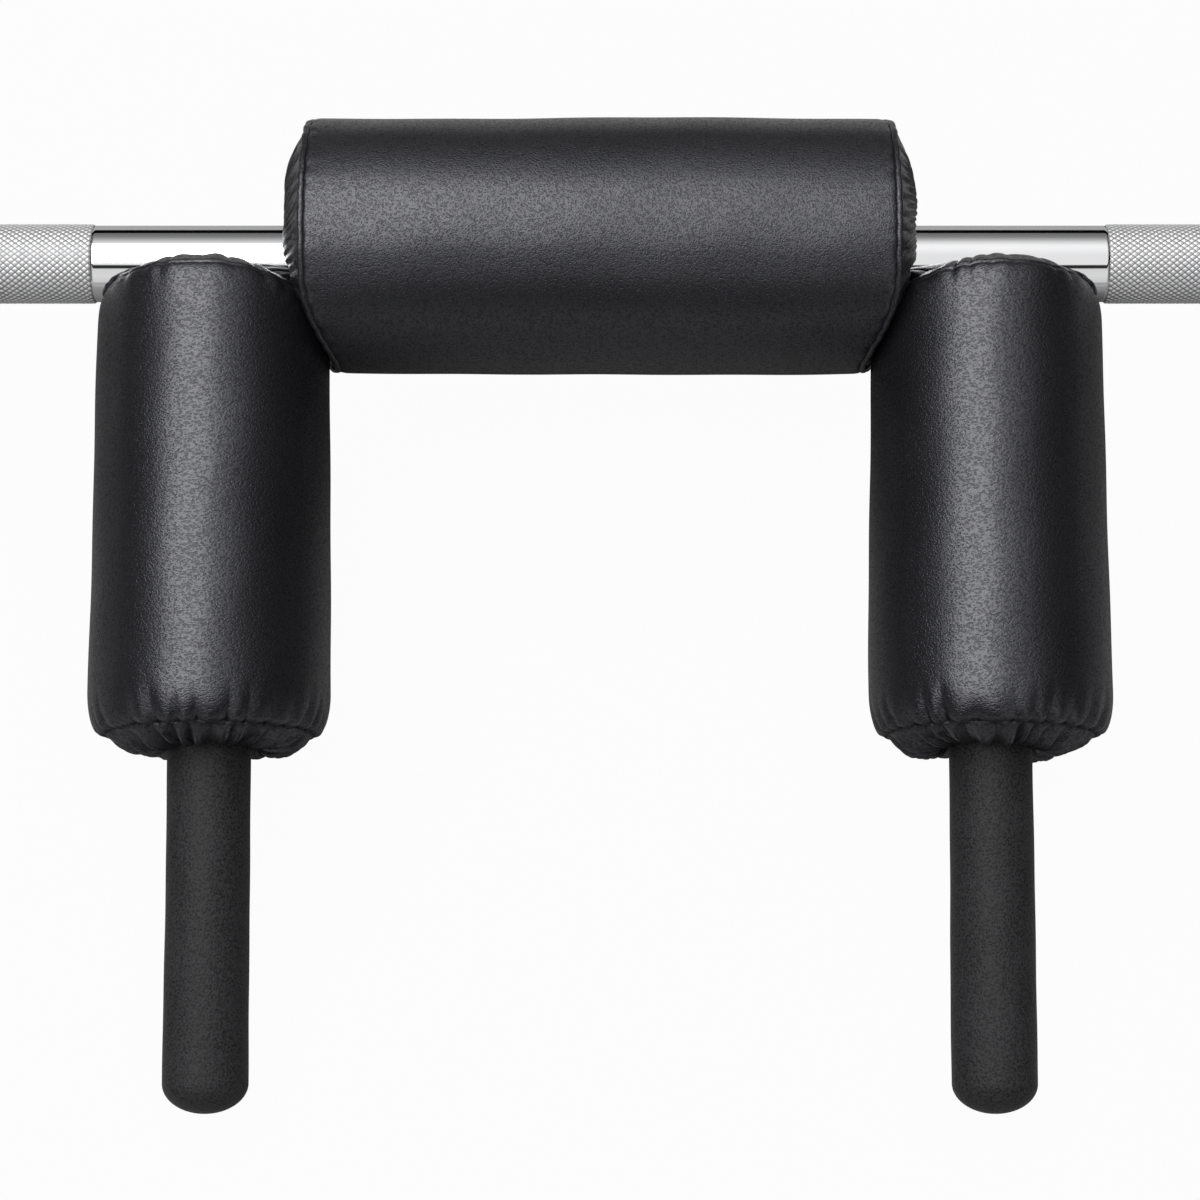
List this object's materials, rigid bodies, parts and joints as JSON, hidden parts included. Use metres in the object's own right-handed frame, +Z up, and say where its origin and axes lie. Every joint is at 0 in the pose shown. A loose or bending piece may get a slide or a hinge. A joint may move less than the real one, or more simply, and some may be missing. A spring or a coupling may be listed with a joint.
{
  "type": "safety squat bar",
  "caption": "Cambered chrome barbell with turning plate sleeves and a padded neck and shoulder yoke whose two arms end in foam handles.",
  "frame": {"origin": "on the floor under the middle of the bar's outline, with the bar lying on its two collars and the tips of its two handles", "axes": "+X along the shaft towards the right-hand sleeve as the picture shows it, +Y away from the handles, +Z up from the floor"},
  "size_m": [2.208, 0.4126, 0.1756],
  "materials": {
    "chrome": "polished",
    "steel": "satin",
    "bronze": "satin",
    "vinyl": "satin",
    "foam_core": "matte",
    "grip_foam": "matte",
    "elastic": "matte",
    "plastic": "matte"
  },
  "bodies": {
    "frame": {"shaft": "chrome", "left_arm": "chrome", "right_arm": "chrome", "left_arm_weld": "chrome", "right_arm_weld": "chrome", "left_arm_plug": "plastic", "right_arm_plug": "plastic", "left_grip": "grip_foam", "right_grip": "grip_foam", "neck_foam": "foam_core", "left_shoulder_foam": "foam_core", "right_shoulder_foam": "foam_core", "neck_cover": "vinyl", "neck_cover_flap": "vinyl", "left_shoulder_cover": "vinyl", "right_shoulder_cover": "vinyl", "neck_left_elastic": "elastic", "neck_right_elastic": "elastic", "left_shoulder_upper_elastic": "elastic", "left_shoulder_lower_elastic": "elastic", "right_shoulder_upper_elastic": "elastic", "right_shoulder_lower_elastic": "elastic", "left_thrust_washer": "bronze", "right_thrust_washer": "bronze", "left_retainer_washer": "steel", "right_retainer_washer": "steel", "left_shaft_clip": "steel", "right_shaft_clip": "steel"},
    "left_sleeve_body": {"left_sleeve": "chrome", "left_collar": "chrome", "left_inner_bushing": "bronze", "left_outer_bushing": "bronze", "left_end_cap": "chrome", "left_cap_ring": "steel"},
    "right_sleeve_body": {"right_sleeve": "chrome", "right_collar": "chrome", "right_inner_bushing": "bronze", "right_outer_bushing": "bronze", "right_end_cap": "chrome", "right_cap_ring": "steel"}
  },
  "joints": [
    {"name": "left_sleeve_spin", "type": "hinge", "parent": "frame", "child": "left_sleeve_body", "pos_m": [-0.714, 0.14305, 0.038], "axis": [1, 0, 0], "continuous": true},
    {"name": "right_sleeve_spin", "type": "hinge", "parent": "frame", "child": "right_sleeve_body", "pos_m": [0.714, 0.14305, 0.038], "axis": [1, 0, 0], "continuous": true}
  ]
}
